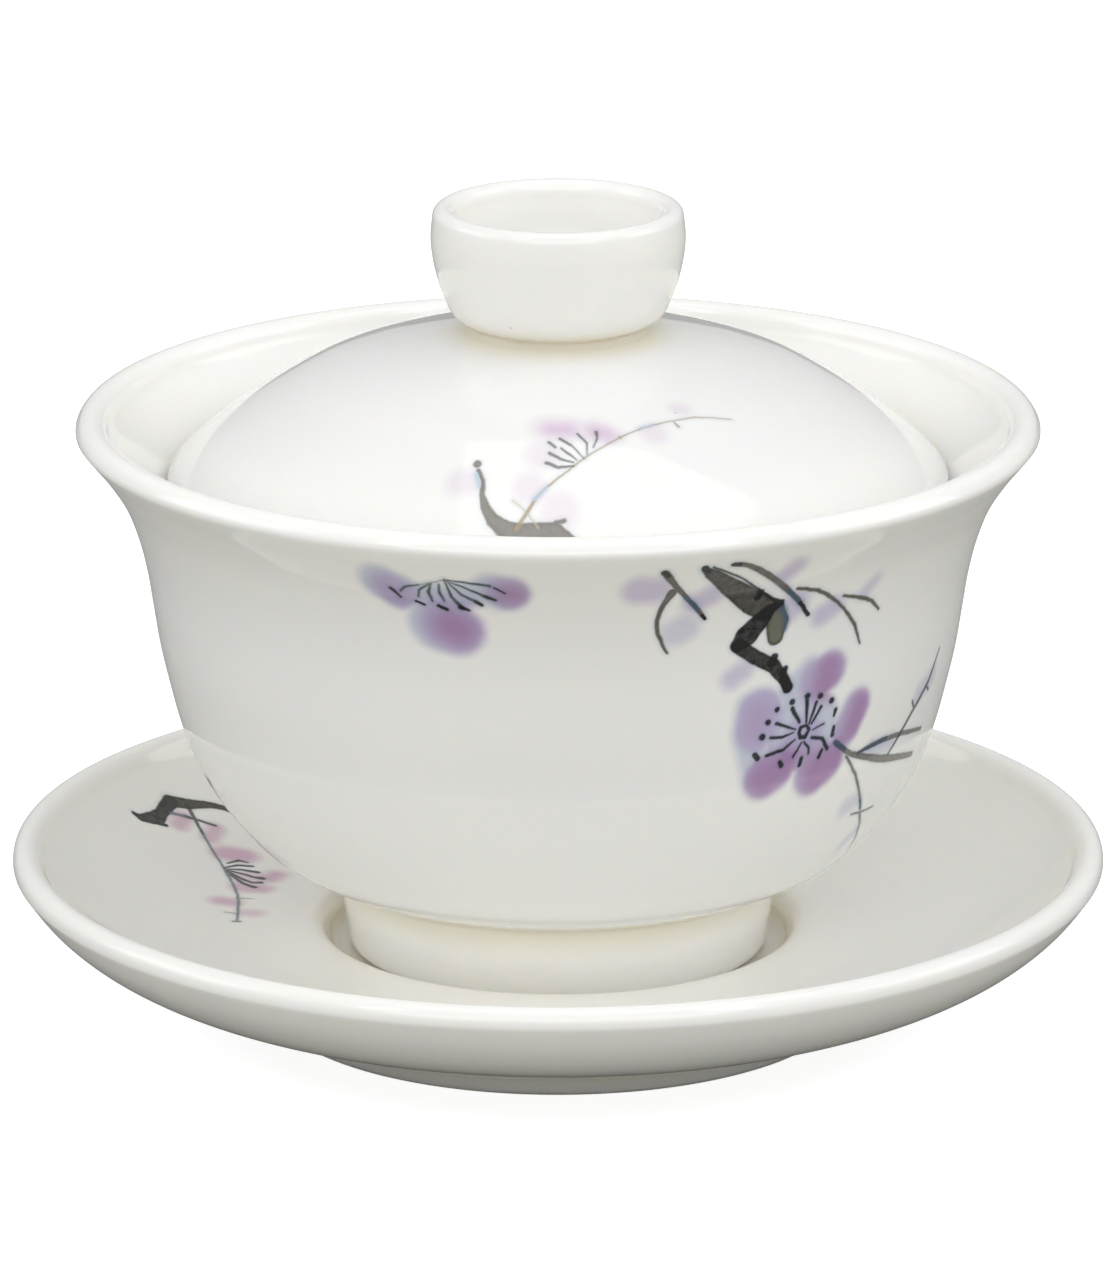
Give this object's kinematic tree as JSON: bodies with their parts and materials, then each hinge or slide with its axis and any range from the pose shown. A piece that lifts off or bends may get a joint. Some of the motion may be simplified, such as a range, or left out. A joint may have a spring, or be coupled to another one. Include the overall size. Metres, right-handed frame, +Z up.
{
  "type": "gaiwan",
  "caption": "Lidded tea bowl on a saucer, in thick white porcelain: flared bowl on a foot ring, domed lid with a cup-shaped knob, and a saucer with a well.",
  "frame": {"origin": "middle of the saucer's foot ring, on the surface that the gaiwan stands on", "axes": "+Z up along the axis that the saucer, bowl and lid are all turned about; -Y towards the painted front"},
  "size_m": [0.11, 0.11, 0.0829],
  "materials": {
    "saucer_porcelain": "clear glossy glaze over warm white porcelain, painted sprig, unglazed foot",
    "bowl_porcelain": "clear glossy glaze over warm white porcelain, painted blossoms, unglazed foot",
    "lid_porcelain": "clear glossy glaze over warm white porcelain, painted sprig"
  },
  "bodies": {
    "saucer": {"saucer": "saucer_porcelain"},
    "bowl": {"bowl": "bowl_porcelain"},
    "lid": {"lid": "lid_porcelain"}
  },
  "joints": [
    {"name": "bowl_lift", "type": "slide", "parent": "saucer", "child": "bowl", "axis": [0, 0, 1], "range_m": [0, 0.03]},
    {"name": "lid_lift", "type": "slide", "parent": "bowl", "child": "lid", "axis": [0, 0, 1], "range_m": [0, 0.04]}
  ]
}
